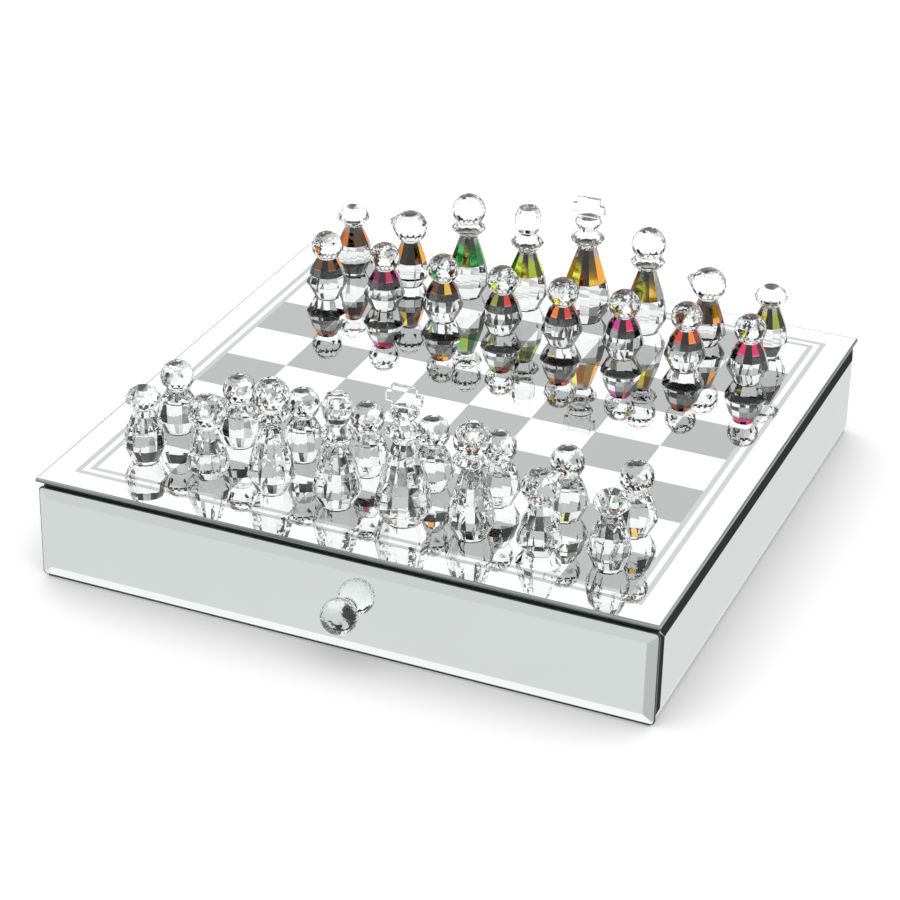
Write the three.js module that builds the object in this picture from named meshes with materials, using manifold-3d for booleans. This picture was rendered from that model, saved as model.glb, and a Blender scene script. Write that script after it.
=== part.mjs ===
// A glass chess set on a mirrored box: a case faced with bevelled mirrors, one drawer with a crystal
// knob, a glass playing board for a lid, and thirty-two cut crystal chess pieces standing on it.
// Millimetres, +Z up. The origin is the middle of the underside, and the drawer opens towards -Y.

import * as THREE from 'three';
import { ConvexGeometry } from 'three/addons/geometries/ConvexGeometry.js';
import { mergeVertices } from 'three/addons/utils/BufferGeometryUtils.js';
import Module from 'manifold-3d';

const wasm = await Module();
wasm.setup();

// Driving dimensions

const square = 38; // side of one square of the board
const plateSide = 352;
const plateTop = 61;
const plateThickness = 2.4;
const caseSide = 351; // outside of the mirrors
const mirrorThickness = 3;
const mirrorTop = 55.4;
const bevelWidth = 6;
const bevelDepth = 1.4; // how far the bevel falls back at the mirror's edge
const gap = 0.3; // the line of adhesive between two glued parts

const feltThickness = 1;
const feltInset = 2.5; // the felt stops short of the mirrors' outside
const baseBoardThickness = 6;
const topBoardThickness = 6.6;
const wallThickness = 9;

const drawerClearance = 1;
const drawerWall = 7;
const drawerBottomThickness = 4;
const drawerHeight = 38;
const glideWidth = 8;
const glideThickness = 0.8;
const glideInset = 10; // how far the strips stop short of the drawer's ends
const liningThickness = 2;

const knobRadius = 10;
const knobReach = 10.4; // from the mirror's face to the middle of the ball
const knobRight = 7; // the knob sits a little to the right of the middle
const knobHeight = 28;
const collarRadius = 5;
const screwRadius = 2;
const screwHeadRadius = 4;
const screwHeadThickness = 2;

const facets = 12; // sides of every cut crystal body
const ballSteps = 5; // rows of facets up a ball
const tableAngle = THREE.MathUtils.degToRad(72); // latitude of the rim of a ball's flat top

const crossThickness = 3.2;
const crossPost = { half: 7, from: 64, to: 77.5 };
const crossArms = { half: 10, from: 68, to: 73.2 };

const knightBall = { radius: 10.4, centre: 36.8, neck: 27.9 };
const knightBeak = new THREE.Vector2(13.2, 3.6); // forward and up from the middle of the ball
const knightBill = 0.6; // how far the swell towards the beak runs past the cut
const knightThroat = new THREE.Vector2(2.9, -9);
const clearKnightTurn = THREE.MathUtils.degToRad(64);
const tintedKnightTurn = THREE.MathUtils.degToRad(192);

// Heights and planes that follow from them

const caseHalf = caseSide / 2;
const coreHalf = caseHalf - mirrorThickness - gap; // outside of the boards behind the mirrors
const baseBottom = feltThickness + gap;
const baseTop = baseBottom + baseBoardThickness;
const topBoardTop = plateTop - plateThickness - gap;
const topBoardBottom = topBoardTop - topBoardThickness;
const wallBottom = baseTop + gap;
const wallTop = topBoardBottom - gap;
const wallInside = coreHalf - wallThickness;
const drawerHalf = wallInside - drawerClearance;
const drawerFloor = wallBottom + glideThickness + gap;
const drawerFront = -coreHalf; // front face of the drawer's front board
const drawerFrontInside = drawerFront + wallThickness;
const drawerBack = wallInside - 2 * drawerClearance;
const boardSurface = plateTop + gap; // what the chess pieces stand on

// Materials

function material(color, roughness, metalness = 0, opacity = 1) {
  return new THREE.MeshStandardMaterial({
    color,
    roughness,
    metalness,
    opacity,
    transparent: opacity < 1,
  });
}

const mirror = material(0xdde2e1, 0.05, 1);
const plateGlass = material(0xe9efed, 0.05, 0.8);
const fibreboard = material(0x8a7256, 0.8);
const blackBoard = material(0x141414, 0.7);
const felt = material(0x1b1b1d, 0.95);
const velvet = material(0x2a2b30, 0.95);
const crystal = material(0xf4f8f8, 0.03, 0, 0.45);
const tintedCrystal = material(0xd9a25a, 0.03, 0, 0.55);
const chrome = material(0xd0d3d5, 0.15, 1);
const steel = material(0x9a9da0, 0.35, 1);

// Shapes

function box(x0, x1, y0, y1, z0, z1) {
  const shape = new THREE.BoxGeometry(x1 - x0, y1 - y0, z1 - z0);
  shape.translate((x0 + x1) / 2, (y0 + y1) / 2, (z0 + z1) / 2);
  return shape;
}

function toSolid(geometry) {
  const bare = geometry.clone();
  bare.deleteAttribute('normal');
  bare.deleteAttribute('uv');
  const merged = mergeVertices(bare);
  return new wasm.Manifold(
    new wasm.Mesh({
      numProp: 3,
      vertProperties: new Float32Array(merged.attributes.position.array),
      triVerts: new Uint32Array(merged.index.array),
    }),
  );
}

function flatShaded(positions, index) {
  const geometry = new THREE.BufferGeometry();
  geometry.setAttribute('position', new THREE.Float32BufferAttribute(positions, 3));
  geometry.setIndex(Array.from(index));
  const flat = geometry.toNonIndexed();
  flat.computeVertexNormals();
  return flat;
}

function toGeometry(solid) {
  const mesh = solid.getMesh();
  return flatShaded(mesh.vertProperties, mesh.triVerts);
}

// A mirror lying face up with its back on z = 0: a slab under a low four-sided frustum.
function bevelledMirror(width, height) {
  const levels = [
    { inset: 0, z: 0 },
    { inset: 0, z: mirrorThickness - bevelDepth },
    { inset: bevelWidth, z: mirrorThickness },
  ];
  const corners = [[-1, -1], [1, -1], [1, 1], [-1, 1]];
  const positions = [];
  for (const { inset, z } of levels) {
    for (const [sideX, sideY] of corners) {
      positions.push(sideX * (width / 2 - inset), sideY * (height / 2 - inset), z);
    }
  }
  const backFace = [0, 2, 1, 0, 3, 2];
  const topRing = 4 * (levels.length - 1);
  const frontFace = [0, 1, 2, 0, 2, 3].map((corner) => topRing + corner);
  const index = [...backFace, ...frontFace];
  for (let ring = 0; ring < topRing; ring += 4) {
    for (let i = 0; i < 4; i += 1) {
      const a = ring + i;
      const b = ring + ((i + 1) % 4);
      index.push(a, b, b + 4, a, b + 4, a + 4);
    }
  }
  return flatShaded(positions, index);
}

// A crystal solid with flat facets, turned about three.js's Y axis from [radius, height] points,
// with a flat foot and a flat crown.
function turned(outline) {
  const foot = outline[0][1];
  const crown = outline[outline.length - 1][1];
  const points = [[0, foot], ...outline, [0, crown]];
  return new THREE.LatheGeometry(
    points.map(([radius, height]) => new THREE.Vector2(radius, height)),
    facets,
  );
}

// The outline of a ball with a small flat top, from the height where it leaves its neck.
function ballOutline(radius, centre, neck) {
  const first = Math.asin((neck - centre) / radius);
  const points = [];
  for (let i = 0; i <= ballSteps; i += 1) {
    const angle = THREE.MathUtils.lerp(first, tableAngle, i / ballSteps);
    points.push([radius * Math.cos(angle), centre + radius * Math.sin(angle)]);
  }
  return points;
}

// Outlines of the crystal pieces, from the foot at height 0 up to the crown

const outlines = {
  pawn: [[7.6, 0], [12.5, 9], [8.9, 20], ...ballOutline(9.3, 32.5, 25.1)],
  rook: [
    [7.6, 0], [11.8, 9.5], [9.8, 20], [5, 31],
    [9.7, 35.8], [9.7, 37.6], [7.7, 41], [4.6, 43.2],
  ],
  knight: [
    [7.8, 0], [12.2, 6], [10, 15.5],
    ...ballOutline(knightBall.radius, knightBall.centre, knightBall.neck),
  ],
  bishop: [
    [8.5, 0], [13.3, 9], [10.7, 22], [5.3, 38.5], [10.3, 44],
    ...ballOutline(10.2, 55.2, 47.8),
  ],
  queen: [
    [8.5, 0], [13.3, 9], [10.7, 22.5], [5.3, 36], [10, 41.8],
    [4.8, 47.5], [6.8, 50], [8, 55.5], [8, 59.5], [5.8, 64],
  ],
  king: [
    [10, 0], [15.4, 8], [15, 13], [12.2, 25.5], [5.6, 46], [10.2, 52],
    [4.7, 57], [8.2, 62.3], [6.8, 65.5],
  ],
};

// The knight's ball swells to a point, and one sloping plane cuts it to a beak that points along +X.
function knightShape() {
  const { radius, centre, neck } = knightBall;
  const ball = turned(ballOutline(radius, centre, neck)).attributes.position;
  const points = [new THREE.Vector3(knightBeak.x + knightBill, centre + knightBeak.y, 0)];
  for (let i = 0; i < ball.count; i += 1) {
    points.push(new THREE.Vector3().fromBufferAttribute(ball, i));
  }
  const whole = toSolid(turned(outlines.knight)).add(toSolid(new ConvexGeometry(points)));

  const size = 40; // larger than the piece every way
  const slope = Math.atan2(knightBeak.y - knightThroat.y, knightBeak.x - knightThroat.x);
  const beyondPlane = box(0, size, -size, size, -size, size);
  beyondPlane.rotateZ(slope - Math.PI / 2);
  beyondPlane.translate(knightBeak.x, centre + knightBeak.y, 0);
  const aboveNeck = box(-size, size, neck, neck + size, -size, size);
  const wedge = toSolid(beyondPlane).intersect(toSolid(aboveNeck));
  return toGeometry(whole.subtract(wedge));
}

// The king carries a flat cross plate that faces the players.
function kingShape() {
  const half = crossThickness / 2;
  const [post, arms] = [crossPost, crossArms].map((bar) =>
    toSolid(box(-bar.half, bar.half, bar.from, bar.to, -half, half)),
  );
  return toGeometry(toSolid(turned(outlines.king)).add(post.add(arms)));
}

const shapes = {
  pawn: turned(outlines.pawn),
  rook: turned(outlines.rook),
  knight: knightShape(),
  bishop: turned(outlines.bishop),
  queen: turned(outlines.queen),
  king: kingShape(),
};

// The assembly

const chessSet = new THREE.Group();
const caseGroup = new THREE.Group();
const drawerGroup = new THREE.Group();
chessSet.add(caseGroup, drawerGroup);

function add(group, name, geometry, finish) {
  const mesh = new THREE.Mesh(geometry, finish);
  mesh.name = name;
  group.add(mesh);
  return mesh;
}

function buildCase() {
  const slab = (name, half, from, to, finish) =>
    add(caseGroup, name, box(-half, half, -half, half, from, to), finish);
  slab('base_felt', caseHalf - feltInset, 0, feltThickness, felt);
  slab('case_base_board', coreHalf, baseBottom, baseTop, blackBoard);
  slab('case_top_board', coreHalf, topBoardBottom, topBoardTop, blackBoard);
  slab('board_plate', plateSide / 2, plateTop - plateThickness, plateTop, plateGlass);

  const wall = (name, x0, x1, y0, y1) =>
    add(caseGroup, name, box(x0, x1, y0, y1, wallBottom, wallTop), fibreboard);
  wall('case_left_wall', -coreHalf, -wallInside, -coreHalf, coreHalf);
  wall('case_right_wall', wallInside, coreHalf, -coreHalf, coreHalf);
  wall('case_back_wall', -wallInside + gap, wallInside - gap, wallInside, coreHalf);

  const glide = (name, middle) =>
    add(caseGroup, name,
      box(middle - glideWidth / 2, middle + glideWidth / 2,
        drawerFrontInside + glideInset, wallInside - glideInset,
        wallBottom, wallBottom + glideThickness),
      felt);
  const glideMiddle = drawerHalf - drawerWall / 2;
  glide('left_glide_strip', -glideMiddle);
  glide('right_glide_strip', glideMiddle);
}

// A mirror stood on its long edge, then turned about Z to face its own side: 0 faces the front.
function standMirror(group, name, width, height, turn) {
  const mesh = add(group, name, bevelledMirror(width, height), mirror);
  mesh.geometry.rotateX(Math.PI / 2);
  mesh.rotation.z = turn;
  const back = caseHalf - mirrorThickness;
  mesh.position.set(back * Math.sin(turn), -back * Math.cos(turn), baseBottom + height / 2);
  return mesh;
}

// The drawer's mirror covers the front ends of the side mirrors, which cover the back one's ends.
function buildMirrors() {
  const height = mirrorTop - baseBottom;
  const overlap = mirrorThickness + gap;
  const quarter = Math.PI / 2;
  for (const [name, turn] of [['left_mirror_panel', -quarter], ['right_mirror_panel', quarter]]) {
    const panel = standMirror(caseGroup, name, caseSide - overlap, height, turn);
    panel.position.y = overlap / 2;
  }
  standMirror(caseGroup, 'back_mirror_panel', caseSide - 2 * overlap, height, Math.PI);
  standMirror(drawerGroup, 'drawer_front_mirror', caseSide, height - gap, 0);
}

function buildDrawer() {
  const bottomTop = drawerFloor + drawerBottomThickness;
  const wallsFrom = bottomTop + gap;
  const wallsTo = drawerFloor + drawerHeight;
  const inside = drawerHalf - drawerWall;
  const front = drawerFrontInside + gap;
  const board = (name, ...sides) => add(drawerGroup, name, box(...sides), fibreboard);
  board('drawer_front_board',
    -drawerHalf, drawerHalf, drawerFront, drawerFrontInside, drawerFloor, wallTop - drawerClearance);
  board('drawer_bottom', -drawerHalf, drawerHalf, front, drawerBack, drawerFloor, bottomTop);
  board('drawer_left_wall', -drawerHalf, -inside, front, drawerBack, wallsFrom, wallsTo);
  board('drawer_right_wall', inside, drawerHalf, front, drawerBack, wallsFrom, wallsTo);
  board('drawer_back_wall',
    -inside + gap, inside - gap, drawerBack - drawerWall, drawerBack, wallsFrom, wallsTo);
  add(drawerGroup, 'drawer_lining',
    box(-inside + gap, inside - gap, front + gap, drawerBack - drawerWall - gap,
      wallsFrom, wallsFrom + liningThickness),
    velvet);
}

// The drawer's front board and mirror are bored for the knob's screw.
function boreDrawerFront() {
  const radius = screwRadius + gap;
  const depth = 4 * wallThickness; // well past both parts
  const drill = new THREE.CylinderGeometry(radius, radius, depth, facets);
  drill.translate(knobRight, drawerFront, knobHeight);
  for (const name of ['drawer_front_board', 'drawer_front_mirror']) {
    const mesh = drawerGroup.getObjectByName(name);
    mesh.updateMatrix();
    const placed = mesh.geometry.clone().applyMatrix4(mesh.matrix);
    mesh.geometry = toGeometry(toSolid(placed).subtract(toSolid(drill)));
    mesh.position.set(0, 0, 0);
    mesh.rotation.set(0, 0, 0);
  }
}

// A screw from inside the drawer reaches the collar, which holds the ball off the mirror.
function buildKnob() {
  const face = -caseHalf;
  const ballBack = knobReach - Math.sqrt(knobRadius ** 2 - collarRadius ** 2);
  const ball = turned(ballOutline(knobRadius, knobReach, ballBack));
  const knob = add(drawerGroup, 'knob_crystal', ball, crystal);
  knob.rotation.x = Math.PI;
  knob.position.set(knobRight, face, knobHeight);

  const collarLength = ballBack - 2 * gap;
  const ring = new THREE.CylinderGeometry(collarRadius, collarRadius, collarLength, 2 * facets);
  const collar = add(drawerGroup, 'knob_collar', ring, chrome);
  collar.position.set(knobRight, face - gap - collarLength / 2, knobHeight);

  const shank = drawerFrontInside - face;
  const rod = new THREE.CylinderGeometry(screwRadius, screwRadius, shank, facets);
  rod.translate(0, -shank / 2, 0);
  const head = new THREE.CylinderGeometry(
    screwHeadRadius, screwHeadRadius, screwHeadThickness, facets);
  head.translate(0, screwHeadThickness / 2, 0);
  const screw = add(drawerGroup, 'knob_screw', toGeometry(toSolid(rod).add(toSolid(head))), steel);
  screw.position.set(knobRight, drawerFrontInside + gap, knobHeight);
}

function placePiece(name, kind, column, row, finish, turn) {
  const upright = shapes[kind].clone().rotateX(Math.PI / 2);
  const piece = add(chessSet, name, upright, finish);
  piece.rotation.z = turn;
  piece.position.set((column - 3.5) * square, (row - 3.5) * square, boardSurface);
}

const backRank = [
  ['rook', 'rook_left'], ['knight', 'knight_left'], ['bishop', 'bishop_left'], ['queen', 'queen'],
  ['king', 'king'], ['bishop', 'bishop_right'], ['knight', 'knight_right'], ['rook', 'rook_right'],
];

function buildArmy(prefix, finish, homeRow, pawnRow, knightTurn) {
  backRank.forEach(([kind, name], column) => {
    const turn = kind === 'knight' ? knightTurn : 0;
    placePiece(`${prefix}_${name}`, kind, column, homeRow, finish, turn);
    placePiece(`${prefix}_pawn_${column + 1}`, 'pawn', column, pawnRow, finish, 0);
  });
}

buildCase();
buildMirrors();
buildDrawer();
boreDrawerFront();
buildKnob();
buildArmy('clear', crystal, 0, 1, clearKnightTurn);
buildArmy('tinted', tintedCrystal, 7, 6, tintedKnightTurn);

export default chessSet;
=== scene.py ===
"""A crystal chess set on a mirrored box with a drawer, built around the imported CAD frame.

The case, the drawer and the thirty-two pieces stand where the frame says. Lengths named here are
in millimetres and are scaled by MM when a mesh is made.
"""

import math

import bmesh
import bpy
from mathutils import Matrix, Quaternion, Vector


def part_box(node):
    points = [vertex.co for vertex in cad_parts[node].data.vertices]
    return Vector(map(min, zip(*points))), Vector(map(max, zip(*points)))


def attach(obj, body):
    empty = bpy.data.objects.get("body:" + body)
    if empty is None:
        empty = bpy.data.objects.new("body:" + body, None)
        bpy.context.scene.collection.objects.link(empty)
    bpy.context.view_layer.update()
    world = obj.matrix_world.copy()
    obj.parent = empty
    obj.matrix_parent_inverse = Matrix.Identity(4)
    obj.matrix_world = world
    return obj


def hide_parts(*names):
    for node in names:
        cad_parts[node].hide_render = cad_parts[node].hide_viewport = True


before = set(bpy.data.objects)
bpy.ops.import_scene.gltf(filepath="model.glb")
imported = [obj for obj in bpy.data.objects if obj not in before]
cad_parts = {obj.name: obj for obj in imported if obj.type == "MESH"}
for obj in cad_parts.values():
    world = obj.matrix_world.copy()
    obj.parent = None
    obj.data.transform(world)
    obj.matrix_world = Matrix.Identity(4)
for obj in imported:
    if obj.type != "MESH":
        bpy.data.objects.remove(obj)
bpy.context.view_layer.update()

MM = 0.001

# The board's pattern
SQUARE = 38
SQUARES = 8
ARRIS = 0.4  # the plate's chamfered edges
LINE = 3  # a grey frame line, and the clear gap between the two

# Mirrors
BEVEL_WIDTH = 6
BEVEL_DEPTH = 1.4
SEAM = 0.5  # the ground line round a mirror's edge, where the silver stops
CORNER_RADIUS = 2
CORNER_STEPS = 4

# Crystal
BODY_SIDES = 12
BALL_SIDES = 16
BALL_ROWS = 9
TABLE_LATITUDE = 72  # degrees, the rim of a ball's small flat top
FACET_EDGE = 0.07  # width of the polished edge between two facets
SHARP_ANGLE = 20  # degrees between two facets that have such an edge
KNOB_OVERSIZE = 0.1  # the knob's ball has more sides than the frame's, and fills the same outline

# The drawer's lining
LINING_STEPS = 48
LINING_ROLL = 40  # the higher, the tighter the rolled edge
LINING_EDGE = 0.35  # height of the edge, as a share of the thickness

# The camera, aimed at a point on the board: angles in degrees, and lengths in metres apart from
# the lens and the sensor
LENS = 111.2
AZIMUTH = 22.604
ELEVATION = 28.559
ROLL = 1.213
DISTANCE = 1.5147
AIM_RIGHT = 0.0116
AIM_FORWARD = -0.0536
SENSOR = 36


# ---------------------------------------------------------------- materials


def new_material(name):
    made = bpy.data.materials.new(name)
    made.use_nodes = True
    return made, made.node_tree, made.node_tree.nodes["Principled BSDF"]


def node(tree, kind, **inputs):
    """A shader node with some inputs set; a name's underscores stand for spaces."""
    made = tree.nodes.new(kind)
    for key, value in inputs.items():
        made.inputs[key.replace("_", " ")].default_value = value
    return made


def noise(tree, scale, detail=3.0, stretch=(1, 1, 1)):
    """Noise over the piece's own coordinates, in features per metre."""
    place = tree.nodes.new("ShaderNodeTexCoord")
    turn = node(tree, "ShaderNodeMapping", Scale=stretch)
    made = node(tree, "ShaderNodeTexNoise", Scale=scale, Detail=detail)
    tree.links.new(place.outputs["Object"], turn.inputs["Vector"])
    tree.links.new(turn.outputs["Vector"], made.inputs["Vector"])
    return made.outputs["Fac"]


def ramp(tree, value, stops):
    """Colours blended along a value: stops are (place, colour) pairs."""
    made = tree.nodes.new("ShaderNodeValToRGB")
    band = made.color_ramp
    while len(band.elements) < len(stops):
        band.elements.new(0.5)
    for element, (place, colour) in zip(band.elements, stops):
        element.position = place
        element.color = (*colour, 1)
    tree.links.new(value, made.inputs["Fac"])
    return made.outputs["Color"]


def spread(tree, value, low, high):
    """The value's middle stretch mapped to low..high."""
    made = node(tree, "ShaderNodeMapRange", From_Min=0.3, From_Max=0.7, To_Min=low, To_Max=high)
    tree.links.new(value, made.inputs["Value"])
    return made.outputs["Result"]


def maths(tree, operation, *values):
    """One maths node, from sockets and plain numbers."""
    made = tree.nodes.new("ShaderNodeMath")
    made.operation = operation
    for socket, value in zip(made.inputs, values):
        if isinstance(value, bpy.types.NodeSocket):
            tree.links.new(value, socket)
        else:
            socket.default_value = value
    return made.outputs["Value"]


def step(tree, value, low, high):
    """0 below low, 1 above high, smooth between."""
    made = node(tree, "ShaderNodeMapRange", From_Min=low, From_Max=high)
    made.interpolation_type = "SMOOTHSTEP"
    tree.links.new(value, made.inputs["Value"])
    return made.outputs["Result"]


def blend(tree, factor, first, second):
    """A colour mixed from two, each a socket or a plain colour."""
    made = tree.nodes.new("ShaderNodeMix")
    made.data_type = "RGBA"
    for key, value in (("Factor", factor), ("A", first), ("B", second)):
        # a colour mix has its own sockets of these names after the number and vector ones
        socket = [i for i in made.inputs if i.name == key and i.enabled][0]
        if isinstance(value, bpy.types.NodeSocket):
            tree.links.new(value, socket)
        else:
            socket.default_value = value
    return [o for o in made.outputs if o.enabled][0]


def bump(tree, shader, height, strength, distance):
    made = node(tree, "ShaderNodeBump", Strength=strength, Distance=distance)
    tree.links.new(height, made.inputs["Height"])
    tree.links.new(made.outputs["Normal"], shader.inputs["Normal"])


def mirror_material(name, colour, haze=0.02):
    """Silvered glass: faint clouding in the silver and a trace of haze on the polish."""
    made, tree, shader = new_material(name)
    shader.inputs["Metallic"].default_value = 1
    cloud = noise(tree, scale=9, detail=4)
    dim = tuple(channel * 0.975 for channel in colour)
    tree.links.new(ramp(tree, cloud, [(0.3, dim), (0.7, colour)]), shader.inputs["Base Color"])
    polish = noise(tree, scale=40, detail=5)
    tree.links.new(spread(tree, polish, 0, haze), shader.inputs["Roughness"])
    return made


def plain_material(name, dark, light, scale, roughness, bumps=0.2, stretch=(1, 1, 1), metallic=0):
    """A surface whose grain runs between two colours and stands up a little."""
    made, tree, shader = new_material(name)
    grain = noise(tree, scale, detail=6, stretch=stretch)
    tree.links.new(ramp(tree, grain, [(0.35, dark), (0.65, light)]), shader.inputs["Base Color"])
    low, high = roughness
    tree.links.new(spread(tree, grain, low, high), shader.inputs["Roughness"])
    shader.inputs["Metallic"].default_value = metallic
    bump(tree, shader, grain, strength=bumps, distance=0.0003)
    return made


def pile_material(name, dark, light, sheen):
    """Felt or velvet: a fine pile with a soft sheen."""
    made = plain_material(name, dark, light, scale=900, roughness=(0.85, 1.0), bumps=0.6)
    shader = made.node_tree.nodes["Principled BSDF"]
    shader.inputs["Sheen Weight"].default_value = sheen
    shader.inputs["Sheen Roughness"].default_value = 0.35
    return made


def crystal_material(name):
    """Cut lead crystal, with the faintest cloud of tint through it."""
    made, tree, shader = new_material(name)
    shader.inputs["Transmission Weight"].default_value = 1
    shader.inputs["Roughness"].default_value = 0
    shader.inputs["IOR"].default_value = 1.54
    cloud = noise(tree, scale=60, detail=2)
    colours = [(0.3, (0.94, 0.955, 0.95)), (0.7, (0.965, 0.972, 0.97))]
    tree.links.new(ramp(tree, cloud, colours), shader.inputs["Base Color"])
    return made


def facet_colours(tree, around, colours):
    """The colours dealt out in turn to the facets round a body."""
    turn = maths(tree, "MULTIPLY", around, BODY_SIDES / len(colours))
    soft = 0.01  # half the width of the change from one colour to the next
    stops = []
    for index, colour in enumerate(colours):
        stops.append((index / len(colours) + soft, colour))
        stops.append(((index + 1) / len(colours) - soft, colour))
    return ramp(tree, maths(tree, "FRACT", turn), stops)


def film_material(name, low_colours, high_colours, change):
    """The metallic film in a tinted piece: one set of facet colours below and another above."""
    made, tree, shader = new_material(name)
    shader.inputs["Metallic"].default_value = 1
    shader.inputs["Roughness"].default_value = 0.1
    spot = tree.nodes.new("ShaderNodeTexCoord")
    around = tree.nodes.new("ShaderNodeTexGradient")
    around.gradient_type = "RADIAL"
    tree.links.new(spot.outputs["Object"], around.inputs["Vector"])
    height = tree.nodes.new("ShaderNodeSeparateXYZ")
    tree.links.new(spot.outputs["Generated"], height.inputs["Vector"])
    low = facet_colours(tree, around.outputs["Fac"], low_colours)
    high = facet_colours(tree, around.outputs["Fac"], high_colours)
    # the film's colours: its tints, with painted dark facets among them
    tint = blend(tree, step(tree, height.outputs["Z"], *change), low, high)
    tree.links.new(tint, shader.inputs["Base Color"])
    return made


MIRROR = mirror_material("mirror_silver", (0.86, 0.9, 0.89))
MIRROR_BEVEL = mirror_material("mirror_bevel", (0.86, 0.9, 0.89))
BOARD_CLEAR = mirror_material("board_clear_mirror", (0.95, 0.96, 0.96), haze=0.01)
BOARD_GREY = mirror_material("board_grey_mirror", (0.47, 0.475, 0.475), haze=0.01)
BOARD_LINE = mirror_material("board_line_mirror", (0.6, 0.605, 0.605), haze=0.01)
PLATE_EDGE = plain_material(
    "plate_edge", (0.07, 0.085, 0.083), (0.26, 0.28, 0.275),
    scale=1, roughness=(0.1, 0.2), bumps=0.1, stretch=(8, 8, 1100))
GLASS_EDGE = plain_material(
    "glass_edge", (0.012, 0.018, 0.016), (0.04, 0.05, 0.05), scale=300, roughness=(0.2, 0.3), bumps=0.1)
BLACK_PAINT = plain_material(
    "black_paint", (0.006, 0.006, 0.006), (0.014, 0.014, 0.014), scale=500, roughness=(0.5, 0.7))
FIBREBOARD = plain_material(
    "fibreboard", (0.2, 0.13, 0.075), (0.34, 0.235, 0.145),
    scale=700, roughness=(0.7, 0.9), bumps=0.35, stretch=(1, 0.25, 1))
FELT = pile_material("black_felt", (0.008, 0.008, 0.009), (0.02, 0.02, 0.022), sheen=0.2)
VELVET = pile_material("grey_velvet", (0.012, 0.013, 0.016), (0.035, 0.036, 0.042), sheen=0.7)
CHROME = plain_material(
    "chrome", (0.62, 0.63, 0.64), (0.75, 0.76, 0.77),
    scale=400, roughness=(0.04, 0.1), bumps=0.05, metallic=1)
STEEL = plain_material(
    "screw_steel", (0.36, 0.36, 0.37), (0.5, 0.5, 0.5),
    scale=600, roughness=(0.25, 0.4), bumps=0.1, metallic=1)
CRYSTAL = crystal_material("crystal")
# the film's underside: painted shade, a dark metal that darkens the crystal below the film
FILM_BACK_PAINTED_SHADE = plain_material(
    "film_back_painted_shade", (0.08, 0.075, 0.08), (0.3, 0.28, 0.29),
    scale=120, roughness=(0.06, 0.15), bumps=0.05, metallic=1)

# The colours of the tinted army's films; the near-black ones are painted shade, dark facets that stand
# in for reflected dark surroundings
AMBER = (0.9, 0.36, 0.04)
ORANGE = (0.95, 0.22, 0.02)
GOLD = (0.95, 0.6, 0.05)
LIME = (0.7, 0.9, 0.03)
GREEN = (0.05, 0.5, 0.1)
OLIVE = (0.35, 0.4, 0.04)
MOSS = (0.03, 0.2, 0.05)
YELLOW = (0.95, 0.85, 0.06)
SLATE = (0.3, 0.3, 0.3)
BROWN = (0.25, 0.07, 0.01)
RED = (0.7, 0.05, 0.02)
CRIMSON = (0.75, 0.02, 0.12)
MAGENTA = (0.6, 0.02, 0.3)
# near black: painted shade, a facet colour standing in for the dark surroundings that the cut facets
# reflect
PAINTED_DARK_FACET = (0.04, 0.015, 0.02)
SILVER = (0.85, 0.85, 0.86)
# near black: painted shade for the dark facets low on the pawns
PAINTED_DARK_STRIPE = (0.02, 0.02, 0.025)
NECK_GREY = (0.42, 0.41, 0.4)  # what the tints of the taller pieces fade to
PAWN_FOOT_PAINTED_REFLECTIONS = (SILVER, PAINTED_DARK_STRIPE, SILVER, SLATE)  # what the pawns' tints change from, below: silver and near-black facets in turn, painted bright and dark reflections
PAWN_CHANGE = (0.3, 0.5)  # where that happens, as shares of the film's height
NECK_CHANGE = (0.62, 0.95)

# each piece's film colours, dealt round its facets: its tints, with painted dark facets among them
FILM_TINTS_AND_PAINTED_SHADE = {
    "rook_left": (AMBER, BROWN, ORANGE, PAINTED_DARK_FACET),
    "knight_left": (GOLD, PAINTED_DARK_FACET, BROWN, AMBER),
    "bishop_left": (GREEN, MOSS, GREEN, OLIVE),
    "queen": (LIME, OLIVE, LIME, YELLOW),
    "king": (GOLD, AMBER, YELLOW, BROWN),
    "bishop_right": (GOLD, SLATE, OLIVE, YELLOW),
    "knight_right": (ORANGE, PAINTED_DARK_FACET, AMBER, BROWN),
    "rook_right": (OLIVE, PAINTED_DARK_FACET, YELLOW, MOSS),
    "pawn_1": (BROWN, PAINTED_DARK_FACET, AMBER, PAINTED_DARK_FACET),
    "pawn_2": (CRIMSON, PAINTED_DARK_FACET, MAGENTA, CRIMSON),
    "pawn_3": (GOLD, PAINTED_DARK_FACET, BROWN, AMBER),
    "pawn_4": (RED, PAINTED_DARK_FACET, OLIVE, BROWN),
    "pawn_5": (RED, PAINTED_DARK_FACET, ORANGE, BROWN),
    "pawn_6": (CRIMSON, PAINTED_DARK_FACET, MAGENTA, PAINTED_DARK_FACET),
    "pawn_7": (ORANGE, BROWN, RED, PAINTED_DARK_FACET),
    "pawn_8": (CRIMSON, PAINTED_DARK_FACET, CRIMSON, MAGENTA),
}


# ---------------------------------------------------------------- mesh helpers


def finish_mesh(name, bm, materials=()):
    bm.normal_update()
    mesh = bpy.data.meshes.new(name)
    bm.to_mesh(mesh)
    bm.free()
    for material in materials:
        mesh.materials.append(material)
    return mesh


def place(name, mesh, body, slot, replaced=(), location=(0, 0, 0), turn=0):
    """A piece of the object, standing for CAD nodes and riding on a body."""
    piece = bpy.data.objects.new(name, mesh)
    bpy.context.collection.objects.link(piece)
    piece.matrix_world = Matrix.Translation(location) @ Matrix.Rotation(turn, 4, "Z")
    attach(piece, body)
    if replaced:
        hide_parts(*replaced)
    return piece


def soften(piece, width):
    """Thin flat edges between the facets."""
    made = piece.modifiers.new("arris", "BEVEL")
    made.width = width * MM
    made.segments = 1
    made.limit_method = "ANGLE"
    made.angle_limit = math.radians(SHARP_ANGLE)


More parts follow.
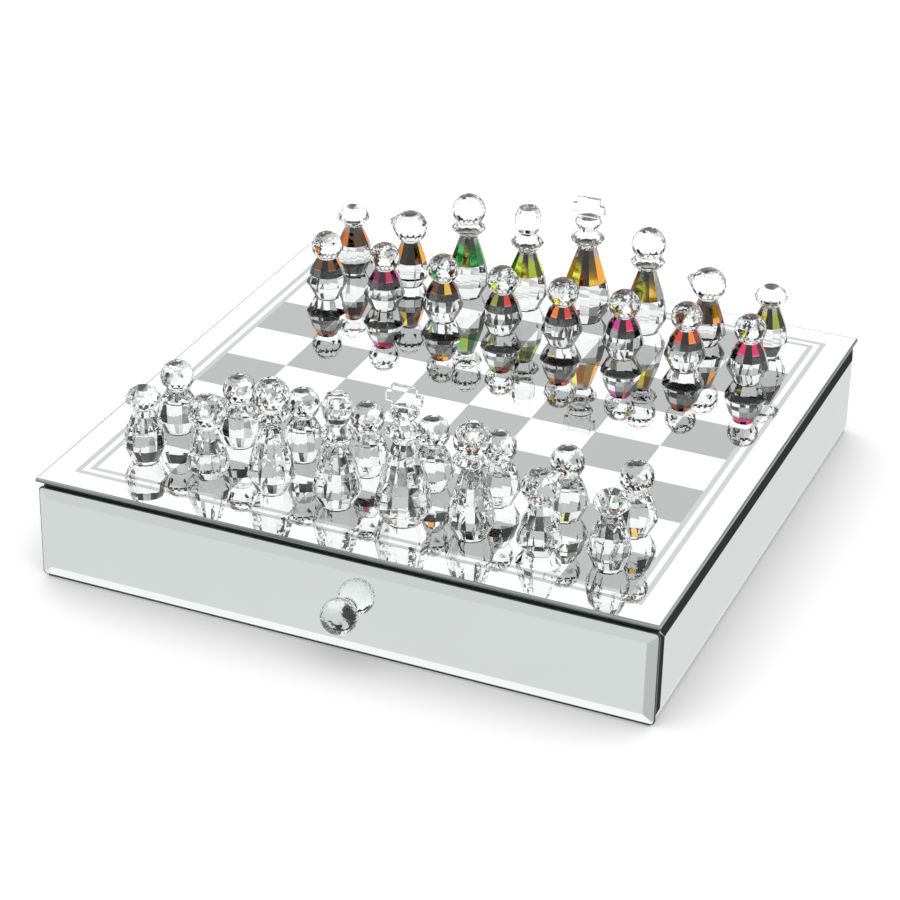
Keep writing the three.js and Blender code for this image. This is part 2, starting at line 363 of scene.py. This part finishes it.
def square_grid_rim(grid, last):
    """The vertices round the edge of a square grid, keyed by column and row, counter-clockwise."""
    front = [grid[i, 0] for i in range(last)]
    right = [grid[last, j] for j in range(last)]
    back = [grid[last - i, last] for i in range(last)]
    left = [grid[0, last - j] for j in range(last)]
    return front + right + back + left


def skirt(bm, above, below, finish=0):
    """A band of faces between two closed loops of vertices."""
    for k in range(len(above)):
        n = (k + 1) % len(above)
        bm.faces.new((above[n], above[k], below[k], below[n])).material_index = finish


def middle(name):
    low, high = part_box(name)
    return (Vector(low) + Vector(high)) / 2


# ---------------------------------------------------------------- the board

CLEAR_SQUARE, GREY_SQUARE, GREY_LINE, PLATE_SIDE = range(4)  # places in the plate's list of materials


def board_breaks(half):
    """Every line across the plate where its pattern changes, in millimetres from the middle."""
    field = SQUARES * SQUARE / 2
    inner = [SQUARE * i - field for i in range(SQUARES + 1)]
    rims = [field + LINE * i for i in (1, 2, 3)]
    return sorted([-half, *(-rim for rim in rims), *inner, *rims, half])


def board_finish(x, y):
    """Which finish the plate has at a point."""
    field = SQUARES * SQUARE / 2
    out = max(abs(x), abs(y)) - field
    if out > 0:
        return GREY_LINE if out < LINE or 2 * LINE < out < 3 * LINE else CLEAR_SQUARE
    column = math.floor((x + field) / SQUARE)
    row = math.floor((y + field) / SQUARE)
    return GREY_SQUARE if (column + row) % 2 else CLEAR_SQUARE


def board_pattern(bm, breaks, level):
    """The plate's patterned face, as a grid of vertices keyed by column and row."""
    grid = {}
    for i, x in enumerate(breaks):
        for j, y in enumerate(breaks):
            grid[i, j] = bm.verts.new((x * MM, y * MM, level * MM))
    last = len(breaks) - 1
    for i in range(last):
        for j in range(last):
            face = bm.faces.new((grid[i, j], grid[i + 1, j], grid[i + 1, j + 1], grid[i, j + 1]))
            face.material_index = board_finish(
                (breaks[i] + breaks[i + 1]) / 2, (breaks[j] + breaks[j + 1]) / 2)
    return grid


def close_plate(bm, rim, half, thickness):
    """From the pattern's rim: the seam, the chamfered edge and the underside."""
    inside = half - ARRIS - SEAM
    above = rim
    for reach, drop in (
        (half - ARRIS, 0),
        (half, ARRIS),
        (half, thickness - ARRIS),
        (half - ARRIS, thickness),
    ):
        grow = reach / inside
        level = (thickness / 2 - drop) * MM
        below = [bm.verts.new((vert.co.x * grow, vert.co.y * grow, level)) for vert in rim]
        skirt(bm, above, below, PLATE_SIDE)
        above = below
    bm.faces.new(list(reversed(above))).material_index = PLATE_SIDE


def build_board():
    low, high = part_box("board_plate")
    half = (high[0] - low[0]) / 2 / MM
    thickness = (high[2] - low[2]) / MM
    breaks = board_breaks(half - ARRIS - SEAM)
    bm = bmesh.new()
    grid = board_pattern(bm, breaks, thickness / 2)
    close_plate(bm, square_grid_rim(grid, len(breaks) - 1), half, thickness)
    bmesh.ops.recalc_face_normals(bm, faces=bm.faces)
    mesh = finish_mesh("board_plate", bm, [BOARD_CLEAR, BOARD_GREY, BOARD_LINE, PLATE_EDGE])
    place("playing_board", mesh, "case", "board_glass", ["board_plate"], middle("board_plate"))


# ---------------------------------------------------------------- mirrors

CORNERS = ((-1, -1), (1, -1), (1, 1), (-1, 1))  # counter-clockwise from the lower left
FIELD, BEVEL, GROUND_EDGE = range(3)  # places in a mirror's list of materials


def rounded_outline(width, height):
    """The four corner arcs of a rounded rectangle."""
    arcs = []
    for quarter, (sx, sy) in enumerate(CORNERS):
        centre = (sx * (width / 2 - CORNER_RADIUS), sy * (height / 2 - CORNER_RADIUS))
        arc = []
        for step in range(CORNER_STEPS + 1):
            angle = math.pi * (1 + quarter / 2 + step / CORNER_STEPS / 2)
            arc.append((centre[0] + CORNER_RADIUS * math.cos(angle),
                        centre[1] + CORNER_RADIUS * math.sin(angle)))
        arcs.append(arc)
    return arcs


def mirror_mesh(name, width, height, thickness):
    """A bevelled mirror facing -Y with its back at y = 0: flat field, bevels and ground edges."""
    bm = bmesh.new()
    arcs = rounded_outline(width, height)
    edge = thickness - BEVEL_DEPTH
    shrink_x = 1 - 2 * SEAM / width
    shrink_z = 1 - 2 * SEAM / height

    def vert(x, z, depth):
        return bm.verts.new((x * MM, -depth * MM, z * MM))

    inner = []
    for sx, sz in CORNERS:
        inner.append(vert(sx * (width / 2 - BEVEL_WIDTH), sz * (height / 2 - BEVEL_WIDTH), thickness))
    silver = [[vert(x * shrink_x, z * shrink_z, edge) for x, z in arc] for arc in arcs]
    front = [[vert(x, z, edge - SEAM / 2) for x, z in arc] for arc in arcs]
    back = [[vert(x, z, 0) for x, z in arc] for arc in arcs]

    bm.faces.new(inner).material_index = FIELD
    for k in range(4):
        n = (k + 1) % 4
        for a, b in zip(silver[k], silver[k][1:]):
            bm.faces.new((inner[k], a, b)).material_index = BEVEL
        bm.faces.new((inner[k], silver[k][-1], silver[n][0], inner[n])).material_index = BEVEL
    loops = [[v for arc in ring for v in arc] for ring in (silver, front, back)]
    for near, far in zip(loops, loops[1:]):
        skirt(bm, near, far, GROUND_EDGE)
    bm.faces.new(list(reversed(loops[-1]))).material_index = GROUND_EDGE
    bmesh.ops.recalc_face_normals(bm, faces=bm.faces)
    return finish_mesh(name, bm, [MIRROR, MIRROR_BEVEL, GLASS_EDGE])


def build_mirrors():
    sides = {
        "left_mirror_panel": ("case", -math.pi / 2),
        "right_mirror_panel": ("case", math.pi / 2),
        "back_mirror_panel": ("case", math.pi),
        "drawer_front_mirror": ("drawer", 0),
    }
    for name, (body, turn) in sides.items():
        low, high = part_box(name)
        size = [(high[i] - low[i]) / MM for i in range(3)]
        thickness = min(size[0], size[1])
        mesh = mirror_mesh(name, max(size[0], size[1]), size[2], thickness)
        outward = Vector((math.sin(turn), -math.cos(turn), 0))
        back = middle(name) - outward * (thickness / 2 * MM)
        place(name + "_glass", mesh, body, "mirror", [name], back, turn)


# ---------------------------------------------------------------- crystal


def ring_loops(bm, rings, sides):
    """One loop of vertices for each (radius, height, phase) ring."""
    loops = []
    for radius, height, phase in rings:
        loop = []
        for k in range(sides):
            angle = 2 * math.pi * (k + phase) / sides
            spot = (radius * math.cos(angle), radius * math.sin(angle), height)
            loop.append(bm.verts.new([value * MM for value in spot]))
        loops.append(loop)
    return loops


def cut_solid(rings, sides):
    """A closed crystal: flat trapezoids between rings in step, triangles where they are staggered."""
    bm = bmesh.new()
    loops = ring_loops(bm, rings, sides)
    for low, high, below, above in zip(loops, loops[1:], rings, rings[1:]):
        for k in range(sides):
            n = (k + 1) % sides
            if below[2] == above[2]:
                bm.faces.new((low[k], low[n], high[n], high[k]))
            elif below[2] < above[2]:
                bm.faces.new((low[k], low[n], high[k]))
                bm.faces.new((low[n], high[n], high[k]))
            else:
                bm.faces.new((low[k], high[n], high[k]))
                bm.faces.new((low[k], low[n], high[n]))
    bm.faces.new(list(reversed(loops[0])))
    bm.faces.new(loops[-1])
    bmesh.ops.recalc_face_normals(bm, faces=bm.faces)
    return bm


def ball_rings(radius, centre):
    rings = []
    for row in range(BALL_ROWS):
        latitude = math.radians(TABLE_LATITUDE * (2 * row / (BALL_ROWS - 1) - 1))
        height = centre + radius * math.sin(latitude)
        rings.append((radius * math.cos(latitude), height, 0.5 * (row % 2)))
    return rings


def united(name, *solids):
    """The boolean union of closed solids, as one mesh."""
    parts = []
    for index, bm in enumerate(solids):
        part = bpy.data.objects.new(f"{name}_{index}", finish_mesh(f"{name}_{index}", bm))
        bpy.context.collection.objects.link(part)
        parts.append(part)
    whole = parts[0]
    for part in parts[1:]:
        join = whole.modifiers.new("join", "BOOLEAN")
        join.operation = "UNION"
        join.solver = "EXACT"
        join.object = part
    graph = bpy.context.evaluated_depsgraph_get()
    mesh = bpy.data.meshes.new_from_object(whole.evaluated_get(graph))
    for part in parts:
        bpy.data.objects.remove(part)
    mesh.name = name
    return mesh


# The crystal bodies: (radius, height, phase) rings, where a phase of a half turns a ring by half a side
BODIES = {
    "pawn": [(7.6, 0, 0), (12.5, 9.2, 0), (9.2, 19.5, 0), (5.6, 25.6, 0)],
    "rook": [
        (7.6, 0, 0), (11.8, 9.8, 0), (9.8, 20, 0), (5, 31, 0),
        (9.7, 35.9, 0.5), (9.7, 37.6, 0.5), (7.7, 41, 0), (4.6, 43.2, 0),
    ],
    "knight": [(7.8, 0, 0), (12.2, 6, 0), (10, 15.5, 0), (5.4, 28.9, 0)],
    "bishop": [
        (8.5, 0, 0), (13.3, 9, 0), (10.7, 22, 0), (5.3, 38.5, 0),
        (10.3, 43.7, 0.5), (10.3, 44.4, 0.5), (5.6, 48.2, 0),
    ],
    "queen": [
        (8.5, 0, 0), (13.3, 9, 0), (10.7, 22.5, 0), (5.3, 36, 0),
        (10, 41.5, 0.5), (10, 42.2, 0.5), (4.8, 47.5, 0), (6.8, 50, 0), (8, 55.5, 0), (8, 59.5, 0),
        (5.8, 64, 0),
    ],
    "king": [
        (10, 0, 0), (15.4, 8, 0), (15, 13.2, 0), (12.2, 25.5, 0), (5.6, 46, 0),
        (10.2, 51.6, 0.5), (10.2, 52.4, 0.5), (4.7, 57, 0), (8.2, 62, 0.5), (8.2, 62.8, 0.5),
        (6.8, 65.5, 0),
    ],
}
BALLS = {"pawn": (9.3, 32.5), "knight": (10.4, 36.8), "bishop": (10.2, 55.2)}  # radius, middle's height

# The tinted film runs from a body's shoulder to its neck: the numbers of those two rings
SHOULDERS = {"pawn": 1, "rook": 2, "knight": 2, "bishop": 2, "queen": 2, "king": 3}
NECKS = {"pawn": 3, "rook": 3, "knight": 3, "bishop": 3, "queen": 3, "king": 4}
PAWN_FILM_FOOT = 15  # the pawns' film starts a little above their shoulder
FILM_DEPTH = 0.25  # how far the film lies under the crystal's surface
TINTED, UNDERSIDE = range(2)  # places in a film's list of materials

KNIGHT_BEAK = (13.2, 3.6)  # forward and up from the middle of the ball
KNIGHT_THROAT = (2.9, -9)
KNIGHT_BILL = 0.6  # how far the swell towards the beak runs past the cut
KNIGHT_NECK_MARGIN = 0.2  # the cut reaches this far below the throat
KNIGHT_TURN = {"clear": math.radians(64), "tinted": math.radians(192)}
CROSS_THICKNESS = 3.2
CROSS_POST = (7, 65.55, 77.5)  # half width, foot and top
CROSS_ARMS = (10, 68, 73.2)


def piece_mesh(kind):
    body = cut_solid(BODIES[kind], BODY_SIDES)
    if kind not in BALLS:
        return finish_mesh(kind, body)
    radius, centre = BALLS[kind]
    ball = cut_solid(ball_rings(radius, centre), BALL_SIDES)
    if kind == "knight":
        ball = swollen_to_beak(ball, centre)
    mesh = united(kind, body, ball)
    if kind == "knight":
        cut_beak(mesh, centre)
    return mesh


def swollen_to_beak(ball, centre):
    """The ball's skin drawn out to a point."""
    forward, up = KNIGHT_BEAK
    skin = bmesh.new()
    for vert in ball.verts:
        skin.verts.new(vert.co)
    ball.free()
    skin.verts.new(((forward + KNIGHT_BILL) * MM, 0, (centre + up) * MM))
    bmesh.ops.convex_hull(skin, input=skin.verts)
    inside = [vert for vert in skin.verts if not vert.link_faces]
    bmesh.ops.delete(skin, geom=inside, context="VERTS")
    in_one_plane = math.radians(1)
    bmesh.ops.dissolve_limit(skin, angle_limit=in_one_plane, verts=skin.verts, edges=skin.edges)
    return skin


def cut_beak(mesh, centre):
    """The ball is cut by one sloping plane, which leaves a beak that points along +X."""
    bm = bmesh.new()
    bm.from_mesh(mesh)
    beak, throat = Vector(KNIGHT_BEAK), Vector(KNIGHT_THROAT)
    along = beak - throat
    normal = Vector((along.y, 0, -along.x)).normalized()
    point = Vector((beak.x, 0, centre + beak.y)) * MM
    neck = (centre + throat.y - KNIGHT_NECK_MARGIN) * MM
    upper = [f for f in bm.faces if min(v.co.z for v in f.verts) > neck]
    edges = {e for f in upper for e in f.edges}
    verts = {v for f in upper for v in f.verts}
    cut = bmesh.ops.bisect_plane(
        bm, geom=[*verts, *edges, *upper], plane_co=point, plane_no=normal, clear_outer=True)
    rim = [e for e in cut["geom_cut"] if isinstance(e, bmesh.types.BMEdge)]
    bmesh.ops.holes_fill(bm, edges=rim)
    bmesh.ops.recalc_face_normals(bm, faces=bm.faces)
    bm.to_mesh(mesh)
    bm.free()


def between_rings(low, high, height):
    """The ring at a height on the slope between two rings."""
    share = (height - low[1]) / (high[1] - low[1])
    return (low[0] + share * (high[0] - low[0]), height, low[2])


def film_mesh(kind):
    """The body's tinted core, from shoulder to neck just inside the crystal, with a dark underside that
    is painted shade.
    """
    rings = BODIES[kind][SHOULDERS[kind]:NECKS[kind] + 1]
    if kind == "pawn":
        rings[0] = between_rings(rings[0], rings[1], PAWN_FILM_FOOT)
    core = [(radius - FILM_DEPTH, height, phase) for radius, height, phase in rings]
    bm = cut_solid(core, BODY_SIDES)
    bm.normal_update()
    for face in bm.faces:
        face.material_index = UNDERSIDE if face.normal.z < -0.5 else TINTED
    return finish_mesh(f"{kind}_film", bm)


def cross_mesh():
    """A plus sign standing in the XZ plane, as one outline pushed through its thickness."""
    post, post_low, post_high = CROSS_POST
    arm, arm_low, arm_high = CROSS_ARMS
    right = [
        (post, post_low), (post, arm_low), (arm, arm_low),
        (arm, arm_high), (post, arm_high), (post, post_high),
    ]
    outline = right + [(-x, z) for x, z in reversed(right)]
    bm = bmesh.new()
    half = CROSS_THICKNESS / 2 * MM
    front, back = [[bm.verts.new((x * MM, y, z * MM)) for x, z in outline] for y in (-half, half)]
    bm.faces.new(front)
    bm.faces.new(list(reversed(back)))
    skirt(bm, front, back)
    bmesh.ops.recalc_face_normals(bm, faces=bm.faces)
    return finish_mesh("cross", bm)


def square_under(name):
    """The middle of the square a piece stands on, at the height of its foot."""
    spot = middle(name)
    x, y = [(math.floor(spot[i] / MM / SQUARE) + 0.5) * SQUARE * MM for i in range(2)]
    return Vector((x, y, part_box(name)[0][2]))


def film_finish(name, kind):
    if kind == "pawn":
        # a pawn's film is painted bright and dark reflections below, and its tints above
        return film_material(f"film_{name}", PAWN_FOOT_PAINTED_REFLECTIONS, FILM_TINTS_AND_PAINTED_SHADE[name], PAWN_CHANGE)
    return film_material(f"film_{name}", FILM_TINTS_AND_PAINTED_SHADE[name], (NECK_GREY,), NECK_CHANGE)


def build_film(name, kind, cad, film, spot, turn):
    film.materials.append(film_finish(name, kind))
    # the underside's dark finish is painted shade
    film.materials.append(FILM_BACK_PAINTED_SHADE)
    place(cad + "_film", film, cad + "_body", "crystal_tinted", (), spot, turn)


def build_cross(cad, slot, cross, spot):
    cross.materials.append(CRYSTAL)
    soften(place(cad + "_cross", cross, cad + "_body", slot, (), spot), 2 * FACET_EDGE)


def build_pieces():
    shapes = {kind: piece_mesh(kind) for kind in BODIES}
    films = {kind: film_mesh(kind) for kind in BODIES}
    cross = cross_mesh()
    for army in ("clear", "tinted"):
        slot = f"crystal_{army}"
        for name in FILM_TINTS_AND_PAINTED_SHADE:
            kind = name.split("_")[0]
            cad = f"{army}_{name}"
            mesh = shapes[kind].copy()
            mesh.name = cad
            mesh.materials.append(CRYSTAL)
            spot = square_under(cad)
            turn = KNIGHT_TURN[army] if kind == "knight" else 0
            soften(place(cad + "_crystal", mesh, cad + "_body", slot, [cad], spot, turn), FACET_EDGE)
            if army == "tinted":
                build_film(name, kind, cad, films[kind].copy(), spot, turn)
            if kind == "king":
                build_cross(cad, slot, cross.copy(), spot)


def build_knob():
    low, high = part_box("knob_crystal")
    radius = (high[0] - low[0]) / 2 / MM
    bm = cut_solid(ball_rings(radius + KNOB_OVERSIZE, 0), BALL_SIDES)
    mesh = finish_mesh("knob", bm, [CRYSTAL])
    mesh.transform(Matrix.Rotation(math.pi / 2, 4, "X"))
    spot = middle("knob_crystal")
    spot.y = low[1] + radius * math.sin(math.radians(TABLE_LATITUDE)) * MM
    piece = place("knob_ball", mesh, "drawer", "crystal_clear", ["knob_crystal"], spot)
    soften(piece, FACET_EDGE)


# ---------------------------------------------------------------- inside parts


def finish_nodes():
    """The CAD parts that keep their shape, with their finishes."""
    finishes = {
        "case_top_board": BLACK_PAINT,
        "case_base_board": BLACK_PAINT,
        "base_felt": FELT,
        "case_left_wall": BLACK_PAINT,
        "case_right_wall": BLACK_PAINT,
        "case_back_wall": BLACK_PAINT,
        "left_glide_strip": FELT,
        "right_glide_strip": FELT,
        "drawer_front_board": FIBREBOARD,
        "drawer_bottom": FIBREBOARD,
        "drawer_left_wall": FIBREBOARD,
        "drawer_right_wall": FIBREBOARD,
        "drawer_back_wall": FIBREBOARD,
        "knob_collar": CHROME,
        "knob_screw": STEEL,
    }
    for name, material in finishes.items():
        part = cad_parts[name]
        part.data.materials.clear()
        part.data.materials.append(material)


def lining_top(bm, half, thickness):
    """The pad's top with its rolled edges, as a grid of vertices keyed by column and row."""
    grid = {}
    for i in range(LINING_STEPS + 1):
        for j in range(LINING_STEPS + 1):
            u = 2 * i / LINING_STEPS - 1
            v = 2 * j / LINING_STEPS - 1
            roll = (1 - abs(u) ** LINING_ROLL) * (1 - abs(v) ** LINING_ROLL)
            height = thickness * (LINING_EDGE + (1 - LINING_EDGE) * math.sqrt(max(roll, 0)))
            grid[i, j] = bm.verts.new((u * half[0], v * half[1], height))
    for i in range(LINING_STEPS):
        for j in range(LINING_STEPS):
            bm.faces.new((grid[i, j], grid[i + 1, j], grid[i + 1, j + 1], grid[i, j + 1]))
    return grid


def build_lining():
    """A thin velvet pad on the drawer's bottom."""
    low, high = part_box("drawer_lining")
    half = [(high[i] - low[i]) / 2 for i in range(2)]
    bm = bmesh.new()
    rim = square_grid_rim(lining_top(bm, half, high[2] - low[2]), LINING_STEPS)
    foot = [bm.verts.new((vert.co.x, vert.co.y, 0)) for vert in rim]
    skirt(bm, rim, foot)
    bm.faces.new(list(reversed(foot)))
    bmesh.ops.recalc_face_normals(bm, faces=bm.faces)
    mesh = finish_mesh("lining", bm, [VELVET])
    mesh.polygons.foreach_set("use_smooth", [True] * len(mesh.polygons))
    spot = middle("drawer_lining")
    spot.z = low[2]
    piece = place("velvet_lining", mesh, "drawer", "velvet", ["drawer_lining"], spot)


# ---------------------------------------------------------------- stage


FLOOR_HALF = 6  # metres
FLOOR_DROP = 0.0002  # keeps the floor clear of the felt

AMBIENT = 1.4  # how bright the room is to the camera and to matt surfaces
ROOM = (  # how bright it is to mirrors, from straight down at 0 to straight up at 1
    (0.0, (1.1, 1.1, 1.1)),
    (0.1, (1.05, 1.05, 1.05)),
    (0.2, (0.78, 0.785, 0.785)),
    (0.3, (0.75, 0.76, 0.76)),
    (0.46, (0.68, 0.705, 0.7)),
    (0.53, (1.0, 1.0, 1.0)),
    (1.0, (1.2, 1.2, 1.2)),
)

# The darker zones of the studio: toward, the half angles in degrees where a zone is fully dark and
# where it has faded out, and its grey
MIRROR_ZONES = (
    ((0.587, 0.623, -0.517), 7, 10, 0.04),
    ((0.415, 0.85, -0.32), 7, 10, 0.04),
    ((0.2, -0.82, -0.54), 6, 20, 0.55),
)
CRYSTAL_ZONES = (
    ((0.1, 0.1, 1), 28, 34, 0.03),
    ((0.34, -0.81, 0.45), 24, 30, 0.01),
    ((-0.75, -0.35, -0.55), 22, 30, 0.02),
)
FLAGS = 9  # tall black flags standing round the set, seen through the crystal
FLAG_PHASE = 0.4
FLAG_TOP = 0.5  # this, the foot and the table's edge are sines of an elevation
FLAG_FOOT = -0.25
FLAG_GREY = 0.01
FLAG_SOFTNESS = 0.1
TABLE_EDGE = (0.02, 0.14)  # a dark line all round, just above the horizon
EDGE_SOFTNESS = 0.03
BACKDROP = (-0.385, 0.923, 0.1)  # the middle of the white backdrop, where no flag stands
BACKDROP_FULL = 24
BACKDROP_GONE = 30


def build_floor():
    made, tree, shader = new_material("floor_paper")
    grain = noise(tree, scale=3, detail=2)
    colours = [(0.3, (0.9, 0.9, 0.9)), (0.7, (0.92, 0.92, 0.92))]
    tree.links.new(ramp(tree, grain, colours), shader.inputs["Base Color"])
    shader.inputs["Roughness"].default_value = 0.9
    shader.inputs["Specular IOR Level"].default_value = 0
    bm = bmesh.new()
    bm.faces.new([bm.verts.new((sx * FLOOR_HALF, sy * FLOOR_HALF, -FLOOR_DROP)) for sx, sy in CORNERS])
    floor = bpy.data.objects.new("floor", finish_mesh("floor", bm, [made]))
    bpy.context.collection.objects.link(floor)
    floor.visible_glossy = False


def zone(tree, direction, toward, full, gone):
    """1 in a round zone of directions, 0 outside."""
    dot = tree.nodes.new("ShaderNodeVectorMath")
    dot.operation = "DOT_PRODUCT"
    dot.inputs[1].default_value = Vector(toward).normalized()
    tree.links.new(direction, dot.inputs[0])
    return step(tree, dot.outputs["Value"], math.cos(math.radians(gone)), math.cos(math.radians(full)))


def flags(tree, direction, axes):
    """1 on the tall flags, 0 between them and over the backdrop."""
    azimuth = maths(tree, "ARCTAN2", axes["Y"], axes["X"])
    wave = maths(tree, "SINE", maths(tree, "MULTIPLY_ADD", azimuth, FLAGS, FLAG_PHASE))
    stripe = step(tree, wave, -FLAG_SOFTNESS, FLAG_SOFTNESS)
    standing = maths(tree, "MULTIPLY", stripe, between(tree, axes["Z"], FLAG_FOOT, FLAG_TOP))
    backdrop = zone(tree, direction, BACKDROP, BACKDROP_FULL, BACKDROP_GONE)
    shown = maths(tree, "MULTIPLY", standing, maths(tree, "SUBTRACT", 1, backdrop))
    return maths(tree, "MAXIMUM", shown, between(tree, axes["Z"], *TABLE_EDGE))


def between(tree, value, low, high):
    """1 between low and high, 0 outside, with soft ends."""
    over = step(tree, value, low - EDGE_SOFTNESS, low)
    under = maths(tree, "SUBTRACT", 1, step(tree, value, high, high + EDGE_SOFTNESS))
    return maths(tree, "MULTIPLY", over, under)


def grey(level):
    return (level, level, level, 1)


def with_zones(tree, direction, room, zones):
    for toward, full, gone, level in zones:
        room = blend(tree, zone(tree, direction, toward, full, gone), room, grey(level))
    return room


def build_world():
    """White to the camera and to matt surfaces, and a white room over a pale floor to mirrors.

    What comes through the crystal has black flags in it too, which give its facets their edge.
    """
    world = bpy.data.worlds.new("studio")
    world.use_nodes = True
    bpy.context.scene.world = world
    tree = world.node_tree
    tree.nodes.clear()
    direction = tree.nodes.new("ShaderNodeTexCoord").outputs["Generated"]
    split = tree.nodes.new("ShaderNodeSeparateXYZ")
    tree.links.new(direction, split.inputs["Vector"])
    height = node(tree, "ShaderNodeMapRange", From_Min=-1, From_Max=1)
    tree.links.new(split.outputs["Z"], height.inputs["Value"])
    room = ramp(tree, height.outputs["Result"], ROOM)
    for_mirrors = with_zones(tree, direction, room, MIRROR_ZONES)
    for_crystal = with_zones(tree, direction, room, CRYSTAL_ZONES)
    for_crystal = blend(tree, flags(tree, direction, split.outputs), for_crystal, grey(FLAG_GREY))
    rays = tree.nodes.new("ShaderNodeLightPath").outputs
    through = maths(tree, "MINIMUM", rays["Transmission Depth"], 1)
    sharp = maths(tree, "MAXIMUM", rays["Is Glossy Ray"], rays["Is Transmission Ray"])
    seen = blend(tree, through, for_mirrors, for_crystal)
    colour = blend(tree, sharp, grey(AMBIENT), seen)
    light = tree.nodes.new("ShaderNodeBackground")
    tree.links.new(colour, light.inputs["Color"])
    out = tree.nodes.new("ShaderNodeOutputWorld")
    tree.links.new(light.outputs["Background"], out.inputs["Surface"])


def build_camera():
    low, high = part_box("board_plate")
    aim = (Vector(low) + Vector(high)) / 2 + Vector((AIM_RIGHT, AIM_FORWARD, 0))
    aim.z = high[2]
    azimuth, elevation = math.radians(AZIMUTH), math.radians(ELEVATION)
    back = Vector((math.sin(azimuth) * math.cos(elevation),
                   -math.cos(azimuth) * math.cos(elevation), math.sin(elevation)))
    data = bpy.data.cameras.new("camera")
    data.lens = LENS
    data.sensor_width = SENSOR
    camera = bpy.data.objects.new("camera", data)
    bpy.context.collection.objects.link(camera)
    camera.location = aim + back * DISTANCE
    camera.rotation_mode = "QUATERNION"
    level = (-back).to_track_quat("-Z", "Y")
    camera.rotation_quaternion = level @ Quaternion((0, 0, 1), math.radians(ROLL))
    bpy.context.scene.camera = camera


def set_light_paths():
    scene = bpy.context.scene
    scene.view_settings.view_transform = "Standard"
    cycles = scene.cycles
    cycles.max_bounces = 24
    cycles.glossy_bounces = 16
    cycles.transmission_bounces = 24
    cycles.diffuse_bounces = 2
    cycles.caustics_reflective = False
    cycles.caustics_refractive = False


build_camera()
set_light_paths()
build_world()
build_floor()
build_board()
build_mirrors()
build_pieces()
build_knob()
build_lining()
finish_nodes()
